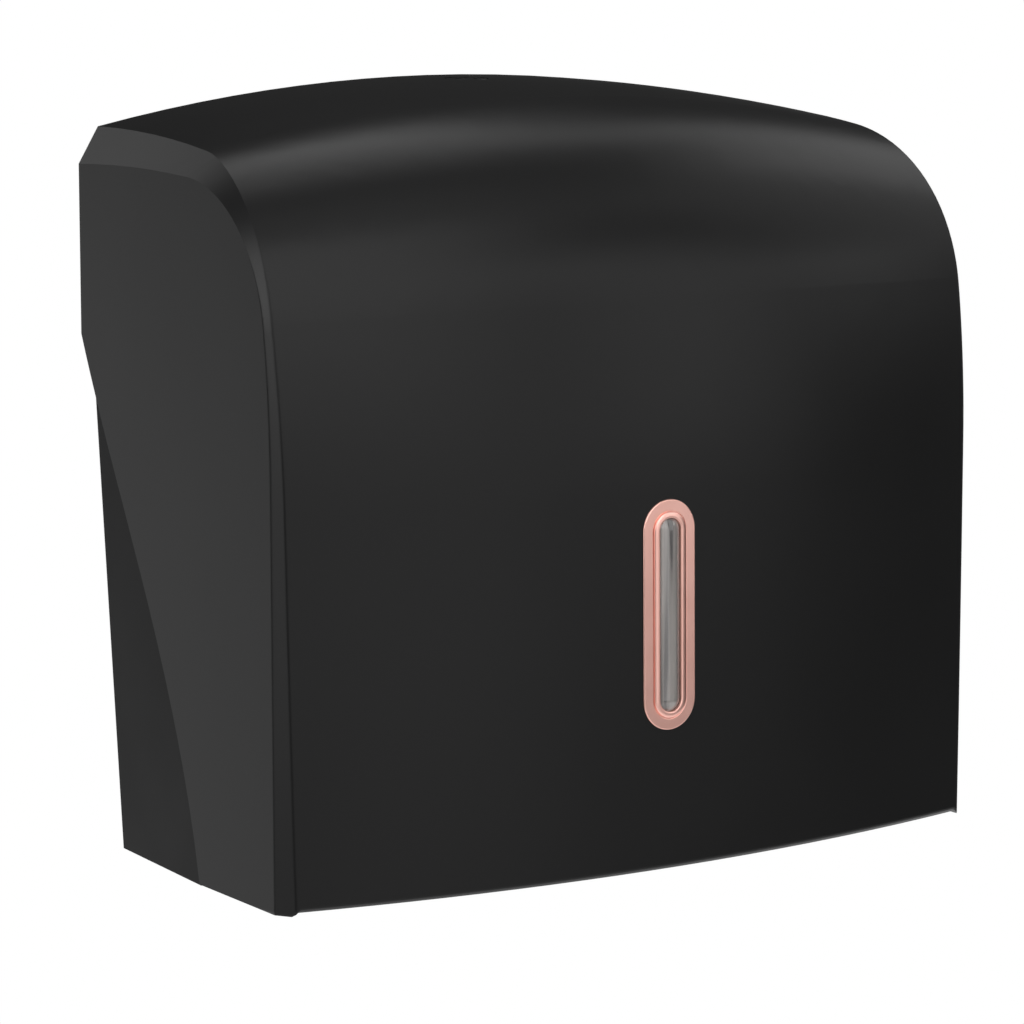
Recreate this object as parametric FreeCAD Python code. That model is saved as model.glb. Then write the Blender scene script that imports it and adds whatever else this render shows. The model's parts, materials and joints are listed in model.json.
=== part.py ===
"""Wall-mounted dispenser for folded paper towels: a bowed hood that swings down off a fixed base.

Millimetres. X runs along the wall, to the right of someone facing the dispenser. Y points into
the wall, whose surface is Y = 0. Z is up. The origin is on the wall, on the centre line, level
with the bottom edge of the hood's front.
"""
import FreeCAD, Part
import math
import os

V = FreeCAD.Vector

# ---------------------------------------------------------------- hood, outside
HOOD_WIDTH = 278.0            # over the two flat sides
HOOD_WALL = 2.5               # moulded wall, sides, top and front
CREASE_TOP = 243.0            # height of the top crease at the wall
CREASE_DEPTH = 133.3          # depth of the front crease at the bottom edge
TOP_RISE = 13.6               # how far the arched top stands above its creases
FRONT_BOW = 15.1              # how far the bowed front stands before its creases
TOP_CREASE_IN = 7.5           # the crease along the top lies this far in from the flat side
FRONT_CREASE_IN = 4.0         # and the crease down the front this far
CORNER_RADIUS = 60.5          # side view, where the top turns into the front
FRONT_RADIUS = 408.0          # side view, the slow curve of the upper front
HEADINGS = (-0.8, 7.1, 80.9, 89.25)       # side view, degrees below level where each arc starts and ends

# the flat chamfer band between the bowed face and the flat side
BAND_DROP = 12.3              # the band's lower edge at the wall, below the top crease
BAND_SETBACK = 6.1            # the band's rear edge at the bottom, behind the front crease
BAND_CORNER_RADIUS = 52.0
BAND_FRONT_RADIUS = 361.7
BAND_HEADINGS = (-3.4, 3.15, 81.9, 89.85)
BAND_RUN = 9.0                # sideways run over which the band is set out
BAND_RISE_TOP = 14.9          # rise of the band over that run, at the top
BAND_RISE_FRONT = 13.0        # and at the front
BAND_INNER_CORNER_RADIUS = 68.3           # side view of the band at the end of that run
BAND_INNER_FRONT_RADIUS = 408.2
BAND_INNER_HEADINGS = (1.3, 7.0, 85.9, 91.5)

SIDE_BOTTOM = -1.1            # the sides reach this far below the front's bottom edge
TAB_IN = 0.6                  # the slope up from a side's bottom ends this far inside the front crease
TAB_SLOPE = 1.2               # width of that slope
BOTTOM_BEVEL = 1.3            # bevel along the front's bottom edge
SIDE_EDGE_TOP = 173.5         # the side's rear edge leaves the wall at this height
SIDE_EDGE_SETBACK = 55.6      # where it meets the bottom, behind the front crease
SIDE_EDGE_SAG = ((0.27, 2.7), (0.52, 6.6), (0.77, 6.3))   # share of the way down, mm ahead of straight

# ---------------------------------------------------------------- hinge
HINGE_SETBACK = 41.3          # hinge axis behind the front crease
HINGE_Z = 12.0
OPEN_ANGLE = 90.0             # travel of the hood
PIN_RADIUS = 2.0
PIN_FIT = 0.05                # radial running clearance on the pin
PIN_HEAD_RADIUS = 3.5
PIN_HEAD = 1.6
PIN_SHORT = 0.3               # the pin's tip ends this far inside the bush
HEAD_BEVEL = 0.5              # bevel of the small round heads
HINGE_BOSS_RADIUS = 6.0
HINGE_BOSS = 4.0              # boss on the inside of the cheek
BUSH_WALL = 1.4
BUSH_FLANGE = 0.6
BUSH_FLANGE_RADIUS = 5.2
BUSH_DEPTH = 3.4              # length of the bush inside the knuckle
KNUCKLE_RADIUS = 8.0
KNUCKLE_GAP = 1.1             # between the knuckle and the cheek
STOP_RADIUS = 20.0            # distance of the stop lugs from the hinge axis
STOP_LUG_RADIUS = 2.5
STOP_LUG_CLEAR = 0.7          # between a lug's end and the wall it passes
STOP_GAP = 1.5                # degrees between the lugs when the hood is fully open
STOP_START = 60.0             # direction of the hood's lug when shut, degrees from +Y towards +Z

# ---------------------------------------------------------------- base
BASE_BOTTOM = -6.0
BASE_WALL = 2.5               # cheeks
BACK_WALL = 3.0               # back plate
CHEEK_SETBACK = 15.3          # the cheeks' front edges, behind the hood's front crease
REAR_IN_LOW = 13.3            # the cheeks' outsides at the wall, in from the hood's side, at the bottom
REAR_IN_HIGH = 3.8            # the same at the top
FRONT_IN_LOW = 5.7            # the same at the cheeks' front edge, at the bottom
FRONT_IN_HIGH = 3.4           # and at the top
TAPER_TOP = 178.0             # the cheeks stop tapering at this height
SKIRT_DEPTH = 62.0            # the base hangs to its full depth this far out from the wall
SKIRT_RISE = 4.0              # then its bottom edge rises by this much
SKIRT_RUN = 20.0              # over this distance
CHEEK_DROP = 37.0             # the cheeks end at the wall this far below the top crease
CHEEK_CURVE = ((0.0, 30.0), (22.0, 84.0), (62.0, 152.0))   # mm behind the front foot, height
CHEEK_LAND = 10.0             # flat top of a cheek beside the plate
PLATE_SHOULDER_DROP = 21.0    # the back plate's arched top, at its ends, below the top crease
PLATE_CROWN_DROP = 10.6       # and on the centre line, below the arch
POCKET_DEPTH = 1.4            # hollows in the back of the plate
POCKET_LAND = 5.0             # between the outer hollows and the guides' clip slots
POCKET_ROWS = ((14.0, 38.0), (62.0, 104.0), (126.0, 168.0), (192.0, 214.0))
POCKET_ROUND = 3.0
RIB_HALF = 7.0                # half width of the lands between the hollows
RIDGE_HEIGHT = 2.0            # ridges up the front of the plate
RIDGE_WIDTH = 2.4
RIDGE_X = (-88.0, -44.0, 0.0, 44.0, 88.0)
RIDGE_FOOT = 10.0             # the ridges start this far above the tray's floor
RIDGE_DROP = 20.0             # and end this far below the plate's shoulder

SCREW_IN = 32.0               # wall screws, in from the towel guides
SCREW_SPACING_Z = 130.0
SCREW_CENTRE_Z = 115.0
SCREW_HOLE_RADIUS = 2.5
SCREW_PAD_RADIUS = 9.0
SCREW_PAD = 1.5

# ---------------------------------------------------------------- tray
TRAY_GAP = 0.3                # clearance to the housing all round
TRAY_BOTTOM = -1.5
TRAY_FLOOR = 2.5
TRAY_FRONT_GAP = 4.9          # between the tray's front edge and the hood's inside, on the centre line
TRAY_CORNER_GAP = 6.6         # the same where the bowed edge meets the corner rounding
TRAY_CORNER_IN = 17.0         # that place, in from the hood's side
TRAY_LIP = 9.0
TRAY_LIP_WALL = 2.0
SLOT_END_IN = 5.8             # the slot's ends, in from the guides' foot
SLOT_WIDTH = 34.0
SLOT_Y = -60.0
FINGER_WIDTH = 76.0           # the wide part in the middle of the slot
FINGER_LENGTH = 92.0
SLOT_RIM = 2.2
SLOT_RIM_HEIGHT = 2.0
TONGUE_X = (-80.0, 0.0, 80.0)
TONGUE_WIDTH = 16.0
TONGUE_WALL = 2.0
TONGUE_LIFT = 1.0             # underside of a tongue above the tray's floor
TONGUE_RISER = 2.5
TRAY_SCREW_IN = 5.0           # screw axis, in from the cheek's inside
TRAY_SCREW_SETBACK = 9.0      # and behind the cheek's front edge
TRAY_BOSS_RADIUS = 4.5
TRAY_BOSS_HEIGHT = 12.0
TRAY_BOSS_WEB = 2.4           # thickness of the web from the boss to the cheek
TRAY_SCREW_RADIUS = 1.75
TRAY_SCREW_LENGTH = 10.0
SCREW_TIP_GAP = 0.5           # left between a screw's tip and the end of its hole
TRAY_SCREW_HEAD = 1.6         # height of the countersunk head, and its flare
TRAY_SCREW_PLAY = 0.2         # radial play in the tray's holes
CROSS_HALF = 2.0              # the driver's cross in a screw head
CROSS_WIDTH = 0.7

# ---------------------------------------------------------------- side guides
GUIDE_IN = 27.0               # inner face of a guide, in from the hood's side
GUIDE_WALL = 2.0
GUIDE_DEPTH = 74.0
GUIDE_HEIGHT = 118.0
GUIDE_FOOT = 9.0
GUIDE_SLOTS = (30.0, 90.0)    # heights of the clip slots in the back plate
GUIDE_TAB = 10.0
GUIDE_SLOT_PLAY = 0.2
GUIDE_ROUND = 18.0            # upper front corner
GUIDE_LEAD = 4.0              # width of the flared front edge
GUIDE_LEAD_DROP = 20.0
GUIDE_WINDOWS = (34.0, 72.0)  # centres of the two openings, above the foot
GUIDE_WINDOW_HALF = 12.0
GUIDE_WINDOW_ENDS = (16.0, 14.0)   # land left at the front and at the back
GUIDE_WINDOW_ROUND = 5.0

# ---------------------------------------------------------------- window
WINDOW_Z = 85.6               # centre of the window
TRIM_HEIGHT = 77.0
TRIM_WIDTH = 20.7
TRIM_PROUD = 1.3              # flange thickness in front of the hood
TRIM_BEVEL = 0.7
TRIM_STEP_IN = 3.9            # from the flange's edge to the sunk ring
TRIM_STEP_DOWN = 0.8
TRIM_RING = 2.4               # width of the sunk ring
WINDOW_CUT_IN = 3.2           # the hood's cut-out is this much smaller than the flange all round
TRIM_SLEEVE = 4.2             # length of the sleeve behind the flange
LENS_GAP = 0.15
LENS_FLANGE = 1.6
LENS_SEAT = 1.4               # depth of the seat behind the trim's opening
LENS_DOME = 1.5
LENS_SINK = 0.3               # how far the lens's face lies behind the sunk ring
RETAINER_WALL = 2.0
RETAINER_EDGE = 6.0           # how far the retainer reaches past the cut-out
RETAINER_EAR = 12.0           # screw ears above and below the cut-out
RETAINER_MARGIN = 3.5         # its opening is this much smaller than the cut-out all round
WINDOW_BOSS = 2.0             # height of the screw bosses behind the hood's wall
SCREW_SKIN = 1.3              # wall left in front of a blind screw hole
WINDOW_BOSS_RADIUS = 3.6
SMALL_SCREW_RADIUS = 1.4
SMALL_HEAD_RADIUS = 2.6
SMALL_HEAD = 1.4
THREAD_FIT = 0.05             # radial play of a screw in its pilot hole

# ---------------------------------------------------------------- lock
LOCK_Y = -24.0
LOCK_SET = 0.15               # the lock's face lies this far below the top
LOCK_RECESS_PLAY = 0.35       # between the flange and the round recess in the top
LOCK_FLANGE_RADIUS = 7.4
LOCK_FLANGE = 1.2
LOCK_BARREL_RADIUS = 6.0
LOCK_BARREL_LENGTH = 15.0
LOCK_BOSS_RADIUS = 12.0
LOCK_BOSS = 5.0
LOCK_FIT = 0.15
LOCK_NUT_FLATS = 16.0
LOCK_NUT = 3.0
PLUG_RADIUS = 4.0
PLUG_FIT = 0.05
PLUG_TAIL = 1.0               # the plug stands this far below the body
PLUG_SINK = 0.3               # and this far below the flange's face
LOCK_BEVEL = 0.25             # bevel of the flange
KEYWAY_WIDTH = 1.6
KEYWAY_LENGTH = 5.6
KEYWAY_DEPTH = 9.0
CAM_WALL = 1.6
CAM_HALF_WIDTH = 4.0
CAM_REACH = 15.0
CAM_ROOT = 1.0                # the cam's round root is this much wider than its finger
CAM_ROUND = 1.5
CAM_SCREW_RADIUS = 1.5
CAM_SCREW_HEAD_RADIUS = 3.0
CAM_SCREW_HEAD = 1.6
CAM_SCREW_HOLD = 4.0          # length of the screw inside the plug
DRIVER_SLOT = (2.4, 0.4, 0.8) # half length, half width and depth
KEEPER_WALL = 1.6
KEEPER_BEND = 0.9             # outer radius of its bends, as a share of its wall
KEEPER_X = (8.5, 19.5)
KEEPER_BELOW_CAM = 4.2
KEEPER_CLEAR = 0.8            # between the keeper's hook and the cam
KEEPER_HOOK = 6.4
KEEPER_LEG = 20.0
KEEPER_SCREW_RADIUS = 1.5
KEEPER_HEAD_RADIUS = 2.8
KEEPER_HEAD = 1.5
KEEPER_SCREW_RISE = (4.0, 12.0)   # screws above the foot of the keeper's leg

# ---------------------------------------------------------------- worked out from the above
HALF = HOOD_WIDTH / 2
TOP_CREASE_X = HALF - TOP_CREASE_IN
FRONT_CREASE_X = HALF - FRONT_CREASE_IN
BAND_TOP = CREASE_TOP - BAND_DROP
BAND_DEPTH = CREASE_DEPTH - BAND_SETBACK
BAND_INNER_X = HALF - BAND_RUN
TAB_X = FRONT_CREASE_X - TAB_IN
SIDE_EDGE_REACH = CREASE_DEPTH - SIDE_EDGE_SETBACK
HINGE_Y = HINGE_SETBACK - CREASE_DEPTH
CHEEK_DEPTH = CREASE_DEPTH - CHEEK_SETBACK
CHEEK_TOP = CREASE_TOP - CHEEK_DROP
REAR_HALF_LOW = HALF - REAR_IN_LOW
REAR_HALF_HIGH = HALF - REAR_IN_HIGH
FRONT_HALF_LOW = HALF - FRONT_IN_LOW
FRONT_HALF_HIGH = HALF - FRONT_IN_HIGH
PLATE_SHOULDER = CREASE_TOP - PLATE_SHOULDER_DROP
PLATE_CROWN = CREASE_TOP + TOP_RISE - PLATE_CROWN_DROP
GUIDE_X = HALF - GUIDE_IN
SCREW_SPACING_X = 2 * (GUIDE_X - SCREW_IN)
SLOT_LENGTH = 2 * (GUIDE_X - SLOT_END_IN - SLOT_RIM)
TRAY_CORNER_X = HALF - TRAY_CORNER_IN
TRAY_SCREW_Y = TRAY_SCREW_SETBACK - CHEEK_DEPTH
TRAY_TOP = TRAY_BOTTOM + TRAY_FLOOR
WINDOW_BOSS_FACE = HOOD_WALL + WINDOW_BOSS
RETAINER_SEAT = TRIM_SLEEVE + 2 * LENS_GAP
LOCK_SINK = LOCK_FLANGE + LOCK_SET
LOCK_RECESS_RADIUS = LOCK_FLANGE_RADIUS + LOCK_RECESS_PLAY


# ================================================================ general shapes
def edge_line(a, b):
    return Part.LineSegment(a, b).toShape()


def edge_arc(a, middle, b):
    return Part.Arc(a, middle, b).toShape()


def prism(points, direction):
    """A straight-sided solid: the closed outline through points, carried along direction."""
    wire = Part.makePolygon(list(points) + [points[0]])
    return Part.Face(wire).extrude(direction)


def box(x0, x1, y0, y1, z0, z1):
    return Part.makeBox(x1 - x0, y1 - y0, z1 - z0, V(x0, y0, z0))


def cylinder(radius, length, start, direction):
    return Part.makeCylinder(radius, length, start, direction)


def fused(shapes):
    """One solid from several that touch or overlap."""
    return shapes[0].multiFuse(shapes[1:]).removeSplitter()


def mirrored(shape):
    """The same piece on the other side of the centre line."""
    return shape.mirror(V(0, 0, 0), V(1, 0, 0))


def stadium(width, height, y, depth, centre_z):
    """A round-ended upright bar whose back is at y and whose face is at y - depth."""
    r = width / 2
    top = centre_z + height / 2 - r
    low = centre_z - height / 2 + r
    edges = [
        edge_line(V(-r, y, low), V(-r, y, top)),
        edge_arc(V(-r, y, top), V(0, y, top + r), V(r, y, top)),
        edge_line(V(r, y, top), V(r, y, low)),
        edge_arc(V(r, y, low), V(0, y, low - r), V(-r, y, low)),
    ]
    return Part.Face(Part.Wire(edges)).extrude(V(0, -depth, 0))


# ================================================================ the hood's form
def turned(heading):
    angle = math.radians(heading)
    return math.sin(angle), math.cos(angle)


def hood_section(x, top, depth, corner_r, front_r, headings):
    """Closed side-view outline of the hood at one x: three tangent arcs and a straight front.

    top is the height at the wall and depth the reach at Z = 0. The first arc's radius and the
    straight's length follow from them.
    """
    behind = 4.0
    below = 12.0
    (s0, c0), (s1, c1), (s2, c2), (s3, c3) = [turned(h) for h in headings]
    y_left = depth - corner_r * (s2 - s1) - front_r * (s3 - s2)
    z_left = top - corner_r * (c1 - c2) - front_r * (c2 - c3)
    spread = (s1 - s0) * s3 - (c0 - c1) * c3
    top_r = (y_left * s3 - z_left * c3) / spread
    straight = (z_left * (s1 - s0) - y_left * (c0 - c1)) / spread

    y, z = 0.0, top
    edges = [edge_line(V(x, behind * c0, z + behind * s0), V(x, y, z))]
    for number, radius in enumerate((top_r, corner_r, front_r)):
        start, end = headings[number:number + 2]
        sa, ca = turned(start)
        sm, cm = turned((start + end) / 2)
        sb, cb = turned(end)
        middle = V(x, y - radius * (sm - sa), z + radius * (cm - ca))
        finish = V(x, y - radius * (sb - sa), z + radius * (cb - ca))
        edges.append(edge_arc(V(x, y, z), middle, finish))
        y, z = finish.y, finish.z
    length = straight + below
    foot = V(x, y - length * c3, z - length * s3)
    heel = V(x, behind * c0, foot.z)
    edges.append(edge_line(V(x, y, z), foot))
    edges.append(edge_line(foot, heel))
    edges.append(edge_line(heel, V(x, behind * c0, top + behind * s0)))
    return Part.Wire(edges)


def bow(x, crease_x):
    """How much of the full bow is left at x."""
    return 1 - (x / crease_x) ** 2


def bowed_section(x, inset):
    top = CREASE_TOP + TOP_RISE * bow(x, TOP_CREASE_X) - inset
    depth = CREASE_DEPTH + FRONT_BOW * bow(x, FRONT_CREASE_X) - inset
    grow = (TOP_RISE + FRONT_BOW) / 2 * bow(x, (TOP_CREASE_X + FRONT_CREASE_X) / 2) - inset
    return hood_section(x, top, depth, CORNER_RADIUS + grow, FRONT_RADIUS + grow, HEADINGS)


def hood_block(inset):
    """The hood as a filled block, with every outside face moved in by inset."""
    steps = 2
    outer_x = HALF + 2.0
    stations = [outer_x * step / steps for step in range(-steps, steps + 1)]
    bowed = Part.makeLoft([bowed_section(x, inset) for x in stations], True, False)

    def band_section(x, share):
        mix = [low + (high - low) * share for low, high in zip(BAND_HEADINGS, BAND_INNER_HEADINGS)]
        return hood_section(
            x,
            BAND_TOP + BAND_RISE_TOP * share - inset,
            BAND_DEPTH + BAND_RISE_FRONT * share - inset,
            BAND_CORNER_RADIUS + (BAND_INNER_CORNER_RADIUS - BAND_CORNER_RADIUS) * share - inset,
            BAND_FRONT_RADIUS + (BAND_INNER_FRONT_RADIUS - BAND_FRONT_RADIUS) * share - inset,
            mix,
        )

    spare = 30.0
    spare_run = 28.0

    def wide_section(x):
        return hood_section(x, CREASE_TOP + spare, CREASE_DEPTH + spare,
                            CORNER_RADIUS + spare, FRONT_RADIUS + spare, HEADINGS)

    side_x = HALF - inset
    band_x = BAND_INNER_X - inset
    wide_x = band_x - spare_run
    sections = [band_section(-side_x, 0), band_section(-band_x, 1), wide_section(-wide_x),
                wide_section(wide_x), band_section(band_x, 1), band_section(side_x, 0)]
    banded = Part.makeLoft(sections, True, True)
    return bowed.common(banded)


def top_height(y, inset=0.0):
    """Height of the hood's top on the centre line, at depth y near the wall."""
    section = bowed_section(0.0, inset)
    probe = edge_line(V(0, y, CREASE_TOP / 2), V(0, y, CREASE_TOP * 2))
    crossings = section.distToShape(probe)[1]
    return max(pair[0].z for pair in crossings)


def front_depth(z, inset=0.0):
    """Depth of the hood's front on the centre line at height z."""
    section = bowed_section(0.0, inset)
    probe = edge_line(V(0, -CREASE_DEPTH / 2, z), V(0, -CREASE_DEPTH * 2, z))
    crossings = section.distToShape(probe)[1]
    return max(-pair[0].y for pair in crossings)


def front_lean():
    """Degrees by which the straight front leans back from upright."""
    return 90.0 - HEADINGS[3]


def side_edge_cutter():
    """Everything behind the slanting rear edge of the hood's sides, full width."""
    wide = HALF + 10
    top = V(-wide, 0, SIDE_EDGE_TOP)
    bottom = V(-wide, -SIDE_EDGE_REACH, 0)
    middle = []
    for share, sag in SIDE_EDGE_SAG:
        middle.append(V(-wide, -SIDE_EDGE_REACH * share - sag, SIDE_EDGE_TOP * (1 - share)))
    curve = Part.BSplineCurve()
    curve.interpolate([top] + middle + [bottom])
    low = V(-wide, -SIDE_EDGE_REACH - 4, -20)
    edges = [curve.toShape(), edge_line(bottom, low), edge_line(low, V(-wide, 20, -20)),
             edge_line(V(-wide, 20, -20), V(-wide, 20, SIDE_EDGE_TOP)),
             edge_line(V(-wide, 20, SIDE_EDGE_TOP), top)]
    return Part.Face(Part.Wire(edges)).extrude(V(2 * wide, 0, 0))


def on_window(shape):
    """Leans a piece, made on an upright front, to lie on the hood's front at the window."""
    depth = front_depth(WINDOW_Z)
    placed = shape.copy()
    placed.translate(V(0, -depth, 0))
    placed.rotate(V(0, -depth, WINDOW_Z), V(1, 0, 0), -front_lean())
    return placed


# ================================================================ cover body
def stop_point(angle, x):
    """A point on the circle of the stop lugs, angle in degrees from +Y towards +Z."""
    turn = math.radians(angle)
    return V(x, HINGE_Y + STOP_RADIUS * math.cos(turn), HINGE_Z + STOP_RADIUS * math.sin(turn))


def knuckle_face_x():
    """Inner face of the right-hand knuckle, clear of the cheek's widest point beside it."""
    return cheek_x(HINGE_Y - KNUCKLE_RADIUS, HINGE_Z + KNUCKLE_RADIUS) + KNUCKLE_GAP


def hood_hinge_side():
    """Knuckle and stop lug on the inside of the hood's right-hand wall."""
    root = HALF - HOOD_WALL / 2
    face = knuckle_face_x()
    knuckle = cylinder(KNUCKLE_RADIUS, root - face, V(face, HINGE_Y, HINGE_Z), V(1, 0, 0))
    lug_face = cheek_x(-CHEEK_DEPTH, HINGE_Z + STOP_RADIUS) + STOP_LUG_CLEAR
    lug = cylinder(STOP_LUG_RADIUS, root - lug_face, stop_point(STOP_START, lug_face), V(1, 0, 0))
    return knuckle.fuse(lug)


def bush_hole():
    radius = PIN_RADIUS + PIN_FIT + BUSH_WALL
    return cylinder(radius, BUSH_DEPTH, V(knuckle_face_x(), HINGE_Y, HINGE_Z), V(1, 0, 0))


def window_screw_points():
    reach = TRIM_HEIGHT / 2 - WINDOW_CUT_IN + RETAINER_EAR / 2
    return [WINDOW_Z - reach, WINDOW_Z + reach]


def make_front_cover():
    shell = hood_block(0.0).cut(hood_block(HOOD_WALL))
    shell = shell.cut(box(-HALF - 5, HALF + 5, 0, 20, -30, CREASE_TOP * 2))
    shell = shell.cut(side_edge_cutter())
    low = -30.0
    ahead = -CREASE_DEPTH * 2
    shell = shell.cut(box(-HALF - 5, HALF + 5, ahead, 20, low, SIDE_BOTTOM))
    foot_x = TAB_X + TAB_SLOPE
    outline = [V(-foot_x, ahead, low), V(-foot_x, ahead, SIDE_BOTTOM), V(-TAB_X, ahead, 0),
               V(TAB_X, ahead, 0), V(foot_x, ahead, SIDE_BOTTOM), V(foot_x, ahead, low)]
    shell = shell.cut(prism(outline, V(0, 20 - ahead, 0)))

    lock_floor = top_height(LOCK_Y) - LOCK_SINK
    boss_low = lock_floor - LOCK_BOSS
    boss = cylinder(LOCK_BOSS_RADIUS, LOCK_BOSS, V(0, LOCK_Y, boss_low), V(0, 0, 1))
    window_bosses = []
    inner = HOOD_WALL / 2
    for z in window_screw_points():
        post = cylinder(WINDOW_BOSS_RADIUS, WINDOW_BOSS_FACE - inner, V(0, inner, z), V(0, 1, 0))
        window_bosses.append(on_window(post))
    hinge = hood_hinge_side()
    shell = fused([shell, boss, hinge, mirrored(hinge)] + window_bosses)

    recess = cylinder(LOCK_RECESS_RADIUS, 20, V(0, LOCK_Y, lock_floor), V(0, 0, 1))
    lock_hole = cylinder(LOCK_BARREL_RADIUS + LOCK_FIT, 30, V(0, LOCK_Y, boss_low - 5), V(0, 0, 1))
    cut_width = TRIM_WIDTH - 2 * WINDOW_CUT_IN
    cut_height = TRIM_HEIGHT - 2 * WINDOW_CUT_IN
    window = on_window(stadium(cut_width, cut_height, 6, 12, WINDOW_Z))
    cuts = [recess, lock_hole, window, bush_hole(), mirrored(bush_hole())]
    for z in window_screw_points():
        hole = cylinder(SMALL_SCREW_RADIUS, WINDOW_BOSS_FACE, V(0, SCREW_SKIN, z), V(0, 1, 0))
        cuts.append(on_window(hole))
    for cut in cuts:
        shell = shell.cut(cut)
    return bevel_bottom_edge(shell)


def bevel_bottom_edge(shell):
    """Bevels the outer edge along the bottom of the bowed front."""
    edges = []
    for edge in shell.Edges:
        bounds = edge.BoundBox
        level = bounds.ZMax < 0.01 and bounds.ZMin > -0.01
        long_enough = bounds.XLength > HALF
        outer = bounds.YMin < -CREASE_DEPTH - FRONT_BOW + HOOD_WALL / 2
        if level and long_enough and outer:
            edges.append(edge)
    return shell.makeChamfer(BOTTOM_BEVEL, edges)


def make_hinge_bush():
    radius = PIN_RADIUS + PIN_FIT + BUSH_WALL
    face = V(knuckle_face_x(), HINGE_Y, HINGE_Z)
    sleeve = cylinder(radius, BUSH_DEPTH, face, V(1, 0, 0))
    flange_start = V(face.x - BUSH_FLANGE, HINGE_Y, HINGE_Z)
    flange = cylinder(BUSH_FLANGE_RADIUS, BUSH_FLANGE, flange_start, V(1, 0, 0))
    bore = cylinder(PIN_RADIUS + PIN_FIT, BUSH_FLANGE + BUSH_DEPTH, flange_start, V(1, 0, 0))
    return sleeve.fuse(flange).cut(bore).removeSplitter()


def make_window_trim():
    width, height = TRIM_WIDTH, TRIM_HEIGHT
    flange = stadium(width, height, 0, TRIM_PROUD, WINDOW_Z)
    rim = [e for e in flange.Edges if e.BoundBox.YMax < -TRIM_PROUD + 0.01]
    flange = flange.makeChamfer(TRIM_BEVEL, rim)
    sleeve_width = width - 2 * WINDOW_CUT_IN - 2 * LENS_GAP
    sleeve_height = height - 2 * WINDOW_CUT_IN - 2 * LENS_GAP
    sleeve = stadium(sleeve_width, sleeve_height, TRIM_SLEEVE, TRIM_SLEEVE, WINDOW_Z)
    trim = fused([flange, sleeve])
    ring_width = width - 2 * TRIM_STEP_IN
    ring_height = height - 2 * TRIM_STEP_IN
    step = stadium(ring_width, ring_height, -TRIM_PROUD + TRIM_STEP_DOWN, 3, WINDOW_Z)
    lens_width = ring_width - 2 * TRIM_RING
    lens_height = ring_height - 2 * TRIM_RING
    through = stadium(lens_width, lens_height, TRIM_SLEEVE + 1, TRIM_SLEEVE + 4, WINDOW_Z)
    seat_width = lens_width + 2 * LENS_FLANGE
    seat_height = lens_height + 2 * LENS_FLANGE
    seat = stadium(seat_width, seat_height, TRIM_SLEEVE + 1, LENS_SEAT + 1, WINDOW_Z)
    return on_window(trim.cut(step).cut(through).cut(seat))


def make_window_lens():
    opening_width = TRIM_WIDTH - 2 * TRIM_STEP_IN - 2 * TRIM_RING
    opening_height = TRIM_HEIGHT - 2 * TRIM_STEP_IN - 2 * TRIM_RING
    gap = 2 * LENS_GAP
    back = TRIM_SLEEVE
    seat_face = TRIM_SLEEVE - LENS_SEAT + LENS_GAP
    bar_face = -TRIM_PROUD + TRIM_STEP_DOWN + LENS_SINK
    bar = stadium(opening_width - gap, opening_height - gap, back, back - bar_face, WINDOW_Z)
    face_edges = [e for e in bar.Edges if e.BoundBox.YMax < bar_face + 0.01]
    bar = bar.makeFillet(LENS_DOME, face_edges)
    flange_width = opening_width + 2 * LENS_FLANGE - gap
    flange_height = opening_height + 2 * LENS_FLANGE - gap
    flange = stadium(flange_width, flange_height, back, back - seat_face, WINDOW_Z)
    return on_window(fused([bar, flange]))


def make_window_retainer():
    cut_width = TRIM_WIDTH - 2 * WINDOW_CUT_IN
    cut_height = TRIM_HEIGHT - 2 * WINDOW_CUT_IN
    width = cut_width + 2 * RETAINER_EDGE
    height = cut_height + 2 * RETAINER_EAR
    seat = max(RETAINER_SEAT, WINDOW_BOSS_FACE)
    frame = stadium(width, height, seat + RETAINER_WALL, RETAINER_WALL, WINDOW_Z)
    margin = 2 * RETAINER_MARGIN
    opening = stadium(cut_width - margin, cut_height - margin, seat + 5, 10, WINDOW_Z)
    frame = frame.cut(opening)
    for z in window_screw_points():
        hole = cylinder(SMALL_SCREW_RADIUS + THREAD_FIT, 12, V(0, 0, z), V(0, 1, 0))
        frame = frame.cut(hole)
    return on_window(frame.removeSplitter())


def make_retainer_screws():
    head_seat = max(RETAINER_SEAT, WINDOW_BOSS_FACE) + RETAINER_WALL
    screws = []
    for z in window_screw_points():
        start = SCREW_SKIN + THREAD_FIT
        shank = cylinder(SMALL_SCREW_RADIUS - THREAD_FIT, head_seat - start, V(0, start, z), V(0, 1, 0))
        head = cylinder(SMALL_HEAD_RADIUS, SMALL_HEAD, V(0, head_seat, z), V(0, 1, 0))
        screws.append(on_window(shank.fuse(head).removeSplitter()))
    return Part.makeCompound(screws)


# ================================================================ lock
def lock_floor_z():
    return top_height(LOCK_Y) - LOCK_SINK


def lock_body_low():
    return lock_floor_z() - LOCK_BARREL_LENGTH


def make_lock_body():
    floor = lock_floor_z()
    flange = cylinder(LOCK_FLANGE_RADIUS, LOCK_FLANGE, V(0, LOCK_Y, floor), V(0, 0, 1))
    rim = [e for e in flange.Edges if e.BoundBox.ZMin > floor + LOCK_FLANGE - 0.01]
    flange = flange.makeChamfer(LOCK_BEVEL, rim)
    barrel = cylinder(LOCK_BARREL_RADIUS, LOCK_BARREL_LENGTH, V(0, LOCK_Y, lock_body_low()), V(0, 0, 1))
    bore = cylinder(PLUG_RADIUS + PLUG_FIT, 40, V(0, LOCK_Y, lock_body_low() - 5), V(0, 0, 1))
    return fused([flange, barrel]).cut(bore)


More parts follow.
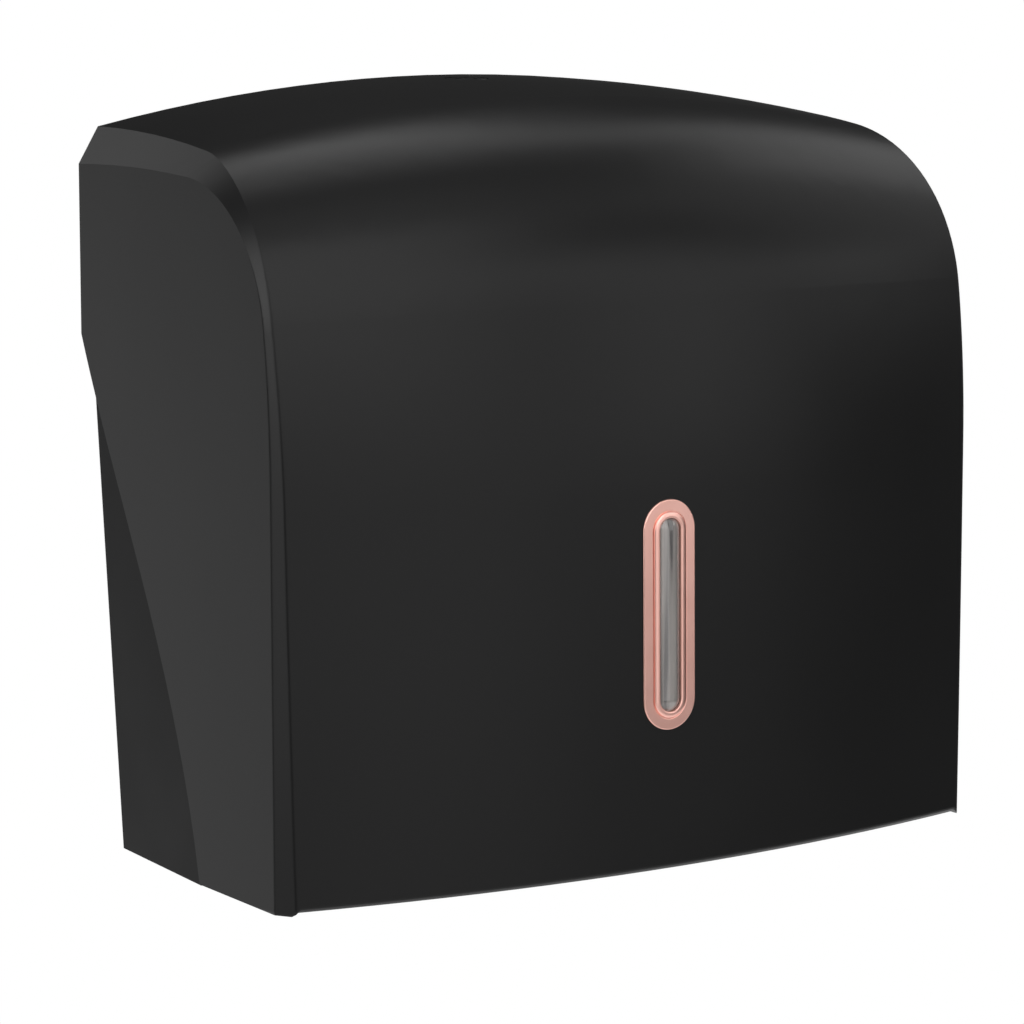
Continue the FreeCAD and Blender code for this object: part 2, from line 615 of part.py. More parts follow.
def make_lock_nut():
    seat = lock_floor_z() - LOCK_BOSS
    corner = LOCK_NUT_FLATS / math.sqrt(3)
    points = []
    for side in range(6):
        turn = math.radians(60 * side)
        points.append(V(corner * math.cos(turn), LOCK_Y + corner * math.sin(turn), seat - LOCK_NUT))
    nut = prism(points, V(0, 0, LOCK_NUT))
    hole = cylinder(LOCK_BARREL_RADIUS + THREAD_FIT, 20, V(0, LOCK_Y, seat - 10), V(0, 0, 1))
    return nut.cut(hole)


def make_lock_plug():
    top = lock_floor_z() + LOCK_FLANGE - PLUG_SINK
    low = lock_body_low() - PLUG_TAIL
    plug = cylinder(PLUG_RADIUS, top - low, V(0, LOCK_Y, low), V(0, 0, 1))
    keyway = box(-KEYWAY_WIDTH / 2, KEYWAY_WIDTH / 2, LOCK_Y - KEYWAY_LENGTH / 2,
                 LOCK_Y + KEYWAY_LENGTH / 2, top - KEYWAY_DEPTH, top + 1)
    screw_hole = cylinder(CAM_SCREW_RADIUS + THREAD_FIT, CAM_SCREW_HOLD + SCREW_TIP_GAP,
                          V(0, LOCK_Y, low), V(0, 0, 1))
    return plug.cut(keyway).cut(screw_hole)


def cam_top():
    return lock_body_low() - PLUG_TAIL


def make_lock_cam():
    """A flat finger that points at the wall when unlocked and sideways when locked."""
    low = cam_top() - CAM_WALL
    centre = V(0, LOCK_Y, low)
    root = cylinder(CAM_HALF_WIDTH + CAM_ROOT, CAM_WALL, centre, V(0, 0, 1))
    finger = box(-CAM_HALF_WIDTH, CAM_HALF_WIDTH, LOCK_Y, LOCK_Y + CAM_REACH, low, low + CAM_WALL)
    corners = [e for e in finger.Edges
               if e.BoundBox.ZLength > CAM_WALL / 2 and e.BoundBox.YMin > LOCK_Y + CAM_REACH - 0.1]
    finger = finger.makeFillet(CAM_ROUND, corners)
    hole = cylinder(CAM_SCREW_RADIUS + THREAD_FIT, 10, V(0, LOCK_Y, low - 4), V(0, 0, 1))
    return fused([root, finger]).cut(hole)


def make_cam_screw():
    head_top = cam_top() - CAM_WALL
    head_low = V(0, LOCK_Y, head_top - CAM_SCREW_HEAD)
    head = cylinder(CAM_SCREW_HEAD_RADIUS, CAM_SCREW_HEAD, head_low, V(0, 0, 1))
    low_rim = [e for e in head.Edges if e.BoundBox.ZMax < head_low.z + 0.01]
    head = head.makeChamfer(HEAD_BEVEL, low_rim)
    shank = cylinder(CAM_SCREW_RADIUS, CAM_SCREW_HEAD + CAM_WALL + CAM_SCREW_HOLD, head_low, V(0, 0, 1))
    length, width, depth = DRIVER_SLOT
    slot = box(-length, length, LOCK_Y - width, LOCK_Y + width, head_low.z - 1, head_low.z + depth)
    return head.fuse(shank).cut(slot).removeSplitter()


def keeper_arm_z():
    return cam_top() - CAM_WALL - KEEPER_BELOW_CAM


def make_lock_keeper():
    """A bent steel strip: a leg on the back plate, an arm forward and a hook turned up."""
    x0, x1 = KEEPER_X
    arm = keeper_arm_z()
    back = -BACK_WALL
    hook = LOCK_Y - CAM_HALF_WIDTH - KEEPER_CLEAR
    t = KEEPER_WALL
    points = [
        V(x0, back, arm - KEEPER_LEG), V(x0, back, arm + t), V(x0, hook, arm + t),
        V(x0, hook, arm + KEEPER_HOOK + t), V(x0, hook - t, arm + KEEPER_HOOK + t),
        V(x0, hook - t, arm), V(x0, back - t, arm), V(x0, back - t, arm - KEEPER_LEG),
    ]
    strip = prism(points, V(x1 - x0, 0, 0))
    bends = []
    for edge in strip.Edges:
        bounds = edge.BoundBox
        lengthwise = bounds.XLength > (x1 - x0) / 2
        outer_top = abs(bounds.YMin - back) < 0.01 and abs(bounds.ZMin - arm - t) < 0.01
        outer_low = abs(bounds.YMin - hook + t) < 0.01 and abs(bounds.ZMin - arm) < 0.01
        if lengthwise and (outer_top or outer_low):
            bends.append(edge)
    strip = strip.makeFillet(t * KEEPER_BEND, bends)
    for z in keeper_screw_heights():
        middle = (x0 + x1) / 2
        hole = cylinder(KEEPER_SCREW_RADIUS + THREAD_FIT, 10, V(middle, 2, z), V(0, -1, 0))
        strip = strip.cut(hole)
    return strip


def keeper_screw_heights():
    foot = keeper_arm_z() - KEEPER_LEG
    return [foot + rise for rise in KEEPER_SCREW_RISE]


def make_keeper_screws():
    screws = []
    middle = sum(KEEPER_X) / 2
    seat = -BACK_WALL - KEEPER_WALL
    for z in keeper_screw_heights():
        head = cylinder(KEEPER_HEAD_RADIUS, KEEPER_HEAD, V(middle, seat, z), V(0, -1, 0))
        tip = V(middle, -POCKET_DEPTH, z)
        shank = cylinder(KEEPER_SCREW_RADIUS, -seat - POCKET_DEPTH, tip, V(0, -1, 0))
        screws.append(head.fuse(shank).removeSplitter())
    return Part.makeCompound(screws)


# ================================================================ base body
def plan_section(z, rear_half, rear_y, front_half, depth):
    points = [V(-rear_half, rear_y, z), V(-front_half, -depth, z),
              V(front_half, -depth, z), V(rear_half, rear_y, z)]
    return Part.makePolygon(points + [points[0]])


def base_block(side_inset, back_inset, depth):
    """The tapered block between the cheeks' outsides, moved in by the insets."""
    crown = PLATE_CROWN + 10
    behind = 2.0
    sections = []
    for z, rear, front in ((BASE_BOTTOM, REAR_HALF_LOW, FRONT_HALF_LOW),
                           (TAPER_TOP, REAR_HALF_HIGH, FRONT_HALF_HIGH),
                           (crown, REAR_HALF_HIGH, FRONT_HALF_HIGH)):
        slope = (front - rear) / CHEEK_DEPTH
        rear_half = rear - side_inset - slope * behind
        front_half = rear - side_inset + slope * depth
        sections.append(plan_section(z, rear_half, behind, front_half, depth))
    block = Part.makeLoft(sections, True, True)
    return block.common(box(-HALF, HALF, -depth - 1, -back_inset, BASE_BOTTOM - 1, crown + 1))


def cheek_outline():
    """Side-view outline of the cheeks, as a full-width block."""
    wide = HALF + 5
    low = BASE_BOTTOM
    curve = Part.BSplineCurve()
    points = [V(-wide, setback - CHEEK_DEPTH, height) for setback, height in CHEEK_CURVE]
    start = points[0]
    finish = V(-wide, -CHEEK_LAND, CHEEK_TOP)
    curve.interpolate(points + [finish])
    skirt_end = V(-wide, -SKIRT_DEPTH, low)
    raised = V(-wide, -SKIRT_DEPTH - SKIRT_RUN, low + SKIRT_RISE)
    front_foot = V(-wide, -CHEEK_DEPTH, low + SKIRT_RISE)
    edges = [
        edge_line(V(-wide, 0, low), skirt_end),
        edge_line(skirt_end, raised),
        edge_line(raised, front_foot),
        edge_line(front_foot, start),
        curve.toShape(),
        edge_line(finish, V(-wide, 0, CHEEK_TOP)),
        edge_line(V(-wide, 0, CHEEK_TOP), V(-wide, 0, low)),
    ]
    return Part.Face(Part.Wire(edges)).extrude(V(2 * wide, 0, 0))


def plate_outline():
    """Front-view outline of the back plate with its arched top, as a block of the plate's depth."""
    half = HALF
    low = BASE_BOTTOM
    edges = [
        edge_arc(V(-half, 0, PLATE_SHOULDER), V(0, 0, PLATE_CROWN), V(half, 0, PLATE_SHOULDER)),
        edge_line(V(half, 0, PLATE_SHOULDER), V(half, 0, low)),
        edge_line(V(half, 0, low), V(-half, 0, low)),
        edge_line(V(-half, 0, low), V(-half, 0, PLATE_SHOULDER)),
    ]
    return Part.Face(Part.Wire(edges)).extrude(V(0, -BACK_WALL - 0.5, 0))


def wall_screw_points():
    points = []
    for x in (-SCREW_SPACING_X / 2, SCREW_SPACING_X / 2):
        for z in (SCREW_CENTRE_Z - SCREW_SPACING_Z / 2, SCREW_CENTRE_Z + SCREW_SPACING_Z / 2):
            points.append((x, z))
    return points


def back_pockets():
    """Shallow hollows in the wall side of the plate, with lands left round the screws."""
    outer = GUIDE_X - POCKET_LAND
    inner = SCREW_SPACING_X / 2
    pad = SCREW_PAD_RADIUS
    columns = ((-outer, -inner - pad), (-inner + pad, -RIB_HALF),
               (RIB_HALF, inner - pad), (inner + pad, outer))
    pockets = []
    for x0, x1 in columns:
        for z0, z1 in POCKET_ROWS:
            pocket = box(x0, x1, -POCKET_DEPTH, 1, z0, z1)
            corners = [e for e in pocket.Edges if e.BoundBox.YLength > POCKET_DEPTH]
            pockets.append(pocket.makeFillet(POCKET_ROUND, corners))
    return pockets


def cheek_x(y, z):
    """Half width over the cheeks' outsides at a point."""
    share = (z - BASE_BOTTOM) / (TAPER_TOP - BASE_BOTTOM)
    rear = REAR_HALF_LOW + (REAR_HALF_HIGH - REAR_HALF_LOW) * share
    front = FRONT_HALF_LOW + (FRONT_HALF_HIGH - FRONT_HALF_LOW) * share
    return rear + (front - rear) * (-y / CHEEK_DEPTH)


def tray_screw_x():
    return cheek_x(TRAY_SCREW_Y, TRAY_TOP) - BASE_WALL - TRAY_SCREW_IN


def tray_screw_centres():
    return [V(side * tray_screw_x(), TRAY_SCREW_Y, 0) for side in (-1, 1)]


def tongue_low():
    """Underside of the tray's rear tongues."""
    return TRAY_TOP + TONGUE_LIFT


def housing_side_details():
    """Hinge boss, stop lug and tray boss on the right-hand cheek: what is added."""
    inside = cheek_x(HINGE_Y, HINGE_Z) - BASE_WALL
    boss_face = V(inside - HINGE_BOSS, HINGE_Y, HINGE_Z)
    hinge_boss = cylinder(HINGE_BOSS_RADIUS, HINGE_BOSS + BASE_WALL / 2, boss_face, V(1, 0, 0))
    lug_half_angle = math.degrees(math.asin(STOP_LUG_RADIUS / STOP_RADIUS))
    lug_angle = STOP_START + OPEN_ANGLE + 2 * lug_half_angle + STOP_GAP
    lug_point = stop_point(lug_angle, inside + BASE_WALL / 2)
    lug_end = HALF - HOOD_WALL - STOP_LUG_CLEAR
    lug = cylinder(STOP_LUG_RADIUS, lug_end - lug_point.x, lug_point, V(1, 0, 0))
    centre = V(tray_screw_x(), TRAY_SCREW_Y, TRAY_TOP)
    tray_boss = cylinder(TRAY_BOSS_RADIUS, TRAY_BOSS_HEIGHT, centre, V(0, 0, 1))
    web_end = cheek_x(TRAY_SCREW_Y, TRAY_TOP) - BASE_WALL / 2
    web = box(centre.x, web_end, TRAY_SCREW_Y - TRAY_BOSS_WEB / 2, TRAY_SCREW_Y + TRAY_BOSS_WEB / 2,
              TRAY_TOP, TRAY_TOP + TRAY_BOSS_HEIGHT)
    return [hinge_boss, lug, tray_boss, web]


def make_rear_housing():
    outer = base_block(0, 0, CHEEK_DEPTH)
    inner = base_block(BASE_WALL, BACK_WALL, CHEEK_DEPTH + 10)
    channel = outer.cut(inner)
    cheeks = channel.common(cheek_outline())
    plate = channel.common(plate_outline())
    shapes = [plate, cheeks]
    for x in RIDGE_X:
        shapes.append(box(x - RIDGE_WIDTH / 2, x + RIDGE_WIDTH / 2, -BACK_WALL - RIDGE_HEIGHT,
                          -BACK_WALL / 2, TRAY_TOP + RIDGE_FOOT, PLATE_SHOULDER - RIDGE_DROP))
    for x, z in wall_screw_points():
        shapes.append(cylinder(SCREW_PAD_RADIUS, SCREW_PAD + 1, V(x, -BACK_WALL + 1, z), V(0, -1, 0)))
    details = housing_side_details()
    shapes += details + [mirrored(shape) for shape in details]
    housing = fused(shapes)

    cuts = back_pockets()
    for x, z in wall_screw_points():
        cuts.append(cylinder(SCREW_HOLE_RADIUS, 20, V(x, 5, z), V(0, -1, 0)))
    for z in keeper_screw_heights():
        centre = V(sum(KEEPER_X) / 2, 5, z)
        cuts.append(cylinder(KEEPER_SCREW_RADIUS + THREAD_FIT, 20, centre, V(0, -1, 0)))
    tongue_half = TONGUE_WIDTH / 2 + TRAY_GAP
    for x in TONGUE_X:
        cuts.append(box(x - tongue_half, x + tongue_half, -BACK_WALL - 1, 1,
                        tongue_low() - TRAY_GAP, tongue_low() + TONGUE_WALL + TRAY_GAP))
    slot_half = GUIDE_WALL / 2 + GUIDE_SLOT_PLAY
    slot_half_height = GUIDE_TAB / 2 + GUIDE_SLOT_PLAY
    for side in (-1, 1):
        x = side * (GUIDE_X + GUIDE_WALL / 2)
        for z in GUIDE_SLOTS:
            cuts.append(box(x - slot_half, x + slot_half, -BACK_WALL - 1, 1,
                            z - slot_half_height, z + slot_half_height))
        cuts.append(cylinder(PIN_RADIUS + PIN_FIT, GUIDE_IN, V(x, HINGE_Y, HINGE_Z), V(side, 0, 0)))
    for centre in tray_screw_centres():
        start = V(centre.x, centre.y, TRAY_BOTTOM)
        cuts.append(cylinder(TRAY_SCREW_RADIUS + THREAD_FIT, TRAY_SCREW_LENGTH, start, V(0, 0, 1)))
    for cut in cuts:
        housing = housing.cut(cut)
    return housing


def make_hinge_pin():
    inside = cheek_x(HINGE_Y, HINGE_Z) - BASE_WALL - HINGE_BOSS
    tip = knuckle_face_x() + BUSH_DEPTH - PIN_SHORT
    shank = cylinder(PIN_RADIUS, tip - inside, V(inside, HINGE_Y, HINGE_Z), V(1, 0, 0))
    head = cylinder(PIN_HEAD_RADIUS, PIN_HEAD, V(inside - PIN_HEAD, HINGE_Y, HINGE_Z), V(1, 0, 0))
    rim = [e for e in head.Edges if e.BoundBox.XMax < inside - PIN_HEAD + 0.01]
    head = head.makeChamfer(HEAD_BEVEL, rim)
    return shank.fuse(head).removeSplitter()


def tray_plan(inset, z):
    """Plan outline of the tray, moved in by inset: tapered sides, bowed front, round corners."""
    rear_y = -BACK_WALL - TRAY_GAP - inset
    side_rear = cheek_x(rear_y, TRAY_BOTTOM) - BASE_WALL - TRAY_GAP - inset
    side_front = cheek_x(-CHEEK_DEPTH, TRAY_BOTTOM) - BASE_WALL - TRAY_GAP - inset
    hood_inside = CREASE_DEPTH - HOOD_WALL
    front = inset + TRAY_FRONT_GAP - hood_inside - FRONT_BOW
    corner_y = inset + TRAY_CORNER_GAP - hood_inside - FRONT_BOW * bow(TRAY_CORNER_X, FRONT_CREASE_X)
    corner_x = TRAY_CORNER_X - inset
    bend = V((side_front * 3 + corner_x) / 4, (corner_y * 2 - CHEEK_DEPTH) / 3, z)
    edges = [
        edge_line(V(-side_rear, rear_y, z), V(-side_front, -CHEEK_DEPTH, z)),
        edge_arc(V(-side_front, -CHEEK_DEPTH, z), V(-bend.x, bend.y, z), V(-corner_x, corner_y, z)),
        edge_arc(V(-corner_x, corner_y, z), V(0, front, z), V(corner_x, corner_y, z)),
        edge_arc(V(corner_x, corner_y, z), bend, V(side_front, -CHEEK_DEPTH, z)),
        edge_line(V(side_front, -CHEEK_DEPTH, z), V(side_rear, rear_y, z)),
        edge_line(V(side_rear, rear_y, z), V(-side_rear, rear_y, z)),
    ]
    return Part.Wire(edges)


def towel_slot(grow, z, height):
    """The long slot with its wide middle, larger by grow all round."""
    width = SLOT_WIDTH + 2 * grow
    length = SLOT_LENGTH + 2 * grow
    r = width / 2
    end = length / 2 - r
    slot = [
        edge_line(V(-end, SLOT_Y - r, z), V(end, SLOT_Y - r, z)),
        edge_arc(V(end, SLOT_Y - r, z), V(end + r, SLOT_Y, z), V(end, SLOT_Y + r, z)),
        edge_line(V(end, SLOT_Y + r, z), V(-end, SLOT_Y + r, z)),
        edge_arc(V(-end, SLOT_Y + r, z), V(-end - r, SLOT_Y, z), V(-end, SLOT_Y - r, z)),
    ]
    long_part = Part.Face(Part.Wire(slot)).extrude(V(0, 0, height))
    major = FINGER_LENGTH / 2 + grow
    minor = FINGER_WIDTH / 2 + grow
    ellipse = Part.Ellipse(V(0, SLOT_Y, z), major, minor).toShape()
    wide_part = Part.Face(Part.Wire([ellipse])).extrude(V(0, 0, height))
    return long_part.fuse(wide_part).removeSplitter()


def make_outlet_tray():
    z0 = TRAY_BOTTOM
    floor = Part.Face(tray_plan(0, z0)).extrude(V(0, 0, TRAY_FLOOR))
    lip_outer = Part.Face(tray_plan(0, z0)).extrude(V(0, 0, TRAY_LIP))
    lip_inner = Part.Face(tray_plan(TRAY_LIP_WALL, z0)).extrude(V(0, 0, TRAY_LIP + 1))
    ahead = box(-HALF, HALF, -CREASE_DEPTH - 30, -CHEEK_DEPTH - 1, z0, z0 + TRAY_LIP)
    lip = lip_outer.cut(lip_inner).common(ahead)
    rim = towel_slot(SLOT_RIM, z0, TRAY_FLOOR + SLOT_RIM_HEIGHT)
    tongues = []
    back = -BACK_WALL - TRAY_GAP
    tongue_top = tongue_low() + TONGUE_WALL
    for x in TONGUE_X:
        x0, x1 = x - TONGUE_WIDTH / 2, x + TONGUE_WIDTH / 2
        tongues.append(box(x0, x1, back - TONGUE_RISER, back, z0 + TRAY_FLOOR / 2, tongue_top))
        tongues.append(box(x0, x1, back - 1, -TRAY_GAP - POCKET_DEPTH / 2, tongue_low(), tongue_top))
    tray = fused([floor, lip, rim] + tongues)
    tray = tray.cut(towel_slot(0, z0 - 1, 20))
    narrow = TRAY_SCREW_RADIUS + TRAY_SCREW_PLAY
    for centre in tray_screw_centres():
        tray = tray.cut(cylinder(narrow, 20, V(centre.x, centre.y, z0 - 5), V(0, 0, 1)))
        foot = V(centre.x, centre.y, z0)
        tray = tray.cut(Part.makeCone(narrow + TRAY_SCREW_HEAD, narrow, TRAY_SCREW_HEAD, foot, V(0, 0, 1)))
    return tray


def make_tray_screws():
    screws = []
    for centre in tray_screw_centres():
        start = V(centre.x, centre.y, TRAY_BOTTOM)
        head = Part.makeCone(TRAY_SCREW_RADIUS + TRAY_SCREW_HEAD, TRAY_SCREW_RADIUS,
                             TRAY_SCREW_HEAD, start, V(0, 0, 1))
        shank = cylinder(TRAY_SCREW_RADIUS, TRAY_SCREW_LENGTH - SCREW_TIP_GAP, start, V(0, 0, 1))
        screw = head.fuse(shank)
        x, y = centre.x, centre.y
        half = CROSS_WIDTH / 2
        for across, along in ((CROSS_HALF, half), (half, CROSS_HALF)):
            screw = screw.cut(box(x - across, x + across, y - along, y + along,
                                  TRAY_BOTTOM - 1, TRAY_BOTTOM + CROSS_WIDTH))
        screws.append(screw.removeSplitter())
    return Part.makeCompound(screws)


def make_towel_guide():
    """Right-hand side guide: an upright wall with a flared front edge and a foot on the back plate."""
    low = TRAY_TOP + TRAY_GAP
    back = -BACK_WALL - TRAY_GAP
    x0, x1 = GUIDE_X, GUIDE_X + GUIDE_WALL
    wall = box(x0, x1, -GUIDE_DEPTH, back, low, low + GUIDE_HEIGHT)
    crosswise = [e for e in wall.Edges if e.BoundBox.XLength > GUIDE_WALL / 2]
    corner = [e for e in crosswise if e.BoundBox.YMax < -GUIDE_DEPTH + 0.1 and e.BoundBox.ZMin > low + 1]
    wall = wall.makeFillet(GUIDE_ROUND, corner)
    foot = box(x0, x1 + GUIDE_FOOT, back - GUIDE_WALL, back, low, low + GUIDE_HEIGHT)
    base = box(x0, x1 + GUIDE_FOOT, -GUIDE_DEPTH + GUIDE_FOOT, back, low, low + GUIDE_WALL)
    lead_top = low + GUIDE_HEIGHT - GUIDE_LEAD_DROP
    lead = box(x0, x1 + GUIDE_LEAD, -GUIDE_DEPTH, -GUIDE_DEPTH + GUIDE_WALL, low, lead_top)
    shapes = [wall, foot, base, lead]
    tab_end = -TRAY_GAP - POCKET_DEPTH / 2
    for z in GUIDE_SLOTS:
        shapes.append(box(x0, x1, back - 1, tab_end, z - GUIDE_TAB / 2, z + GUIDE_TAB / 2))
    guide = fused(shapes)
    front_land, back_land = GUIDE_WINDOW_ENDS
    for rise in GUIDE_WINDOWS:
        z = low + rise
        window = box(x0 - 1, x1 + 1, -GUIDE_DEPTH + front_land, back - back_land,
                     z - GUIDE_WINDOW_HALF, z + GUIDE_WINDOW_HALF)
        corners = [e for e in window.Edges if e.BoundBox.XLength > GUIDE_WALL]
        guide = guide.cut(window.makeFillet(GUIDE_WINDOW_ROUND, corners))
    return guide


# ================================================================ export
def build():
    pin = make_hinge_pin()
    bush = make_hinge_bush()
    guide = make_towel_guide()
    return {
        "rear_housing": make_rear_housing(),
        "outlet_tray": make_outlet_tray(),
        "tray_screws": make_tray_screws(),
        "towel_guide_left": mirrored(guide),
        "towel_guide_right": guide,
        "hinge_pin_left": mirrored(pin),
        "hinge_pin_right": pin,
        "lock_keeper": make_lock_keeper(),
        "keeper_screws": make_keeper_screws(),
        "front_cover": make_front_cover(),
        "window_trim": make_window_trim(),
        "window_lens": make_window_lens(),
        "window_retainer": make_window_retainer(),
        "retainer_screws": make_retainer_screws(),
        "hinge_bush_left": mirrored(bush),
        "hinge_bush_right": bush,
        "lock_body": make_lock_body(),
        "lock_nut": make_lock_nut(),
        "lock_plug": make_lock_plug(),
        "lock_cam": make_lock_cam(),
        "cam_screw": make_cam_screw(),
    }


def main():
    os.makedirs("parts", exist_ok=True)
    for name, shape in build().items():
        bounds = shape.BoundBox
        print(f"{name:20s} solids {len(shape.Solids)} valid {shape.isValid()}"
              f"  volume {shape.Volume / 1000:8.2f} cm3  x {bounds.XMin:7.1f} {bounds.XMax:7.1f}"
              f"  y {bounds.YMin:7.1f} {bounds.YMax:7.1f}  z {bounds.ZMin:7.1f} {bounds.ZMax:7.1f}")
        shape.exportStep(f"parts/{name}.step")


main()
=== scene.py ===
"""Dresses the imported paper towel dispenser: materials, window, studio light and the camera.

Metres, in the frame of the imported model: X along the wall, Y into the wall, Z up.
"""

import json
import math

import bmesh
import bpy
from mathutils import Matrix, Vector


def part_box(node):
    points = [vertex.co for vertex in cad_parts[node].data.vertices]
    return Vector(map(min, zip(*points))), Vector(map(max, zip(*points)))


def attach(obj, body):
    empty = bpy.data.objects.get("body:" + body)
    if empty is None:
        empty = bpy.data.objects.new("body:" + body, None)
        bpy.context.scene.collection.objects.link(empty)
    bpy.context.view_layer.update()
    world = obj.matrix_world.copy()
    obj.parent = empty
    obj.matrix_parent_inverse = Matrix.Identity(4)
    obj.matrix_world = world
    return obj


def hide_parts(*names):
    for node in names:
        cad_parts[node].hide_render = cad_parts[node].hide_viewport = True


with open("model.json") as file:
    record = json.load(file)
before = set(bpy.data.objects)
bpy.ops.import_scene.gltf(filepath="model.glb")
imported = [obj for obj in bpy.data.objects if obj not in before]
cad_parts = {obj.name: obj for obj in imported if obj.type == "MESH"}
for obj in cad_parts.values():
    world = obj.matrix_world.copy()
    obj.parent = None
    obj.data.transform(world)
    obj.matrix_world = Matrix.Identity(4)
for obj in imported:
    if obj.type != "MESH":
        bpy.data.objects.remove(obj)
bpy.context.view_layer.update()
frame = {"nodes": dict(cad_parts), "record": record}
nodes = frame["nodes"]
scene = bpy.context.scene


# ---------------------------------------------------------------- node helpers
NOISE_ROUGHNESS = 0.5


def new_material(name):
    """A material with an empty tree, its output and one Principled shader."""
    material = bpy.data.materials.new(name)
    material.use_nodes = True
    tree = material.node_tree
    tree.nodes.clear()
    output = tree.nodes.new("ShaderNodeOutputMaterial")
    shader = tree.nodes.new("ShaderNodeBsdfPrincipled")
    tree.links.new(shader.outputs["BSDF"], output.inputs["Surface"])
    return material, tree, shader


def noise(tree, scale, detail, stretch=None):
    """A noise texture laid out in the object's own coordinates."""
    coords = tree.nodes.new("ShaderNodeTexCoord")
    texture = tree.nodes.new("ShaderNodeTexNoise")
    texture.inputs["Scale"].default_value = scale
    texture.inputs["Detail"].default_value = detail
    texture.inputs["Roughness"].default_value = NOISE_ROUGHNESS
    source = coords.outputs["Object"]
    if stretch:
        mapping = tree.nodes.new("ShaderNodeMapping")
        mapping.inputs["Scale"].default_value = stretch
        tree.links.new(source, mapping.inputs["Vector"])
        source = mapping.outputs["Vector"]
    tree.links.new(source, texture.inputs["Vector"])
    return texture.outputs["Fac"]


def spread(tree, value, low, high, from_low=0.3, from_high=0.7):
    """Maps from_low..from_high to low..high. The default range is where most noise lies."""
    node = tree.nodes.new("ShaderNodeMapRange")
    node.inputs["From Min"].default_value = from_low
    node.inputs["From Max"].default_value = from_high
    node.inputs["To Min"].default_value = low
    node.inputs["To Max"].default_value = high
    tree.links.new(value, node.inputs["Value"])
    return node.outputs["Result"]


def blend_colours(tree, value, first, second):
    """A colour between first and second, by a value from 0 to 1."""
    node = tree.nodes.new("ShaderNodeMix")
    node.data_type = "RGBA"
    node.inputs["A"].default_value = (*first, 1.0)
    node.inputs["B"].default_value = (*second, 1.0)
    tree.links.new(value, node.inputs["Factor"])
    return node.outputs["Result"]


def mix_values(tree, operation, first, second):
    """A Math node over two sockets, or a socket and a number."""
    node = tree.nodes.new("ShaderNodeMath")
    node.operation = operation
    for socket, value in zip(node.inputs, (first, second)):
        if isinstance(value, float):
            socket.default_value = value
        else:
            tree.links.new(value, socket)
    return node.outputs[0]


def mix_shaders(tree, share, first, second):
    """A shader between first and second, by a socket from 0 to 1."""
    node = tree.nodes.new("ShaderNodeMixShader")
    tree.links.new(share, node.inputs["Fac"])
    tree.links.new(first, node.inputs[1])
    tree.links.new(second, node.inputs[2])
    return node.outputs["Shader"]


def add_bump(tree, shader, height, strength, distance):
    """Fine relief in the shader's normal, from a height between 0 and 1."""
    bump = tree.nodes.new("ShaderNodeBump")
    bump.inputs["Strength"].default_value = strength
    bump.inputs["Distance"].default_value = distance
    tree.links.new(height, bump.inputs["Height"])
    tree.links.new(bump.outputs["Normal"], shader.inputs["Normal"])
    return bump


# ---------------------------------------------------------------- materials
# Slow patches of tone and of gloss: scale and detail of their noise.
PLASTIC_TONE = (9.0, 4.0)
PLASTIC_GLOSS = (23.0, 5.0)
METAL_TONE = (60.0, 4.0)
METAL_GLOSS = (180.0, 4.0)
GRAIN_DETAIL = 2.0
PLASTIC_GRAIN_STRENGTH = 0.35
METAL_GRAIN_DEPTH = 0.00001

EDGE_SAMPLES = 8
EDGE_RADIUS = 0.0014
EDGE_START_Y = -0.112         # the softer edges start here, near the front of the hood
EDGE_FULL_Y = -0.126          # and have their full radius from here forwards

# The lens's colour runs in streaks between these two tones: painted reflections along its dome.
LENS_DARK_REFLECTION = (0.20, 0.19, 0.19)
LENS_LIGHT_REFLECTION = (0.74, 0.70, 0.67)
LENS_STREAK_SCALE = 420.0
LENS_REFLECTION_RANGE = (0.35, 0.65)   # of the noise, from the dark tone to the light one
LENS_REFLECTION_STRETCH = (1.0, 1.0, 0.03)
LENS_BUMP_STRETCH = (1.0, 1.0, 0.05)
LENS_BUMP_STRENGTH = 0.25
LENS_BUMP_DEPTH = 0.0002
LENS_TRANSMISSION = 0.6
LENS_ROUGHNESS = 0.07
LENS_IOR = 1.49
LENS_COAT_ROUGHNESS = 0.04


def soften_front_edges(tree, bump):
    """The edges near the front of the hood catch the light as if rounded."""
    coords = tree.nodes.new("ShaderNodeTexCoord")
    split = tree.nodes.new("ShaderNodeSeparateXYZ")
    tree.links.new(coords.outputs["Object"], split.inputs["Vector"])
    edges = tree.nodes.new("ShaderNodeBevel")
    edges.samples = EDGE_SAMPLES
    radius = spread(tree, split.outputs["Y"], EDGE_RADIUS, 0.0, EDGE_FULL_Y, EDGE_START_Y)
    tree.links.new(radius, edges.inputs["Radius"])
    tree.links.new(edges.outputs["Normal"], bump.inputs["Normal"])


def add_patches(tree, shader, dark, light, tone_noise, rough, gloss_noise):
    """Slow changes of tone between dark and light, and of roughness within the range rough."""
    tone = spread(tree, noise(tree, *tone_noise), 0.0, 1.0)
    tree.links.new(blend_colours(tree, tone, dark, light), shader.inputs["Base Color"])
    gloss = spread(tree, noise(tree, *gloss_noise), *rough)
    tree.links.new(gloss, shader.inputs["Roughness"])


def moulded_plastic(name, dark, light, rough, specular, grain, grain_depth, soft_edges=False):
    """Moulded plastic: a fine spark-eroded grain, with slow changes of tone and gloss."""
    material, tree, shader = new_material(name)
    add_patches(tree, shader, dark, light, PLASTIC_TONE, rough, PLASTIC_GLOSS)
    shader.inputs["Specular IOR Level"].default_value = specular
    height = noise(tree, grain, GRAIN_DETAIL)
    bump = add_bump(tree, shader, height, PLASTIC_GRAIN_STRENGTH, grain_depth)
    if soft_edges:
        soften_front_edges(tree, bump)
    return material


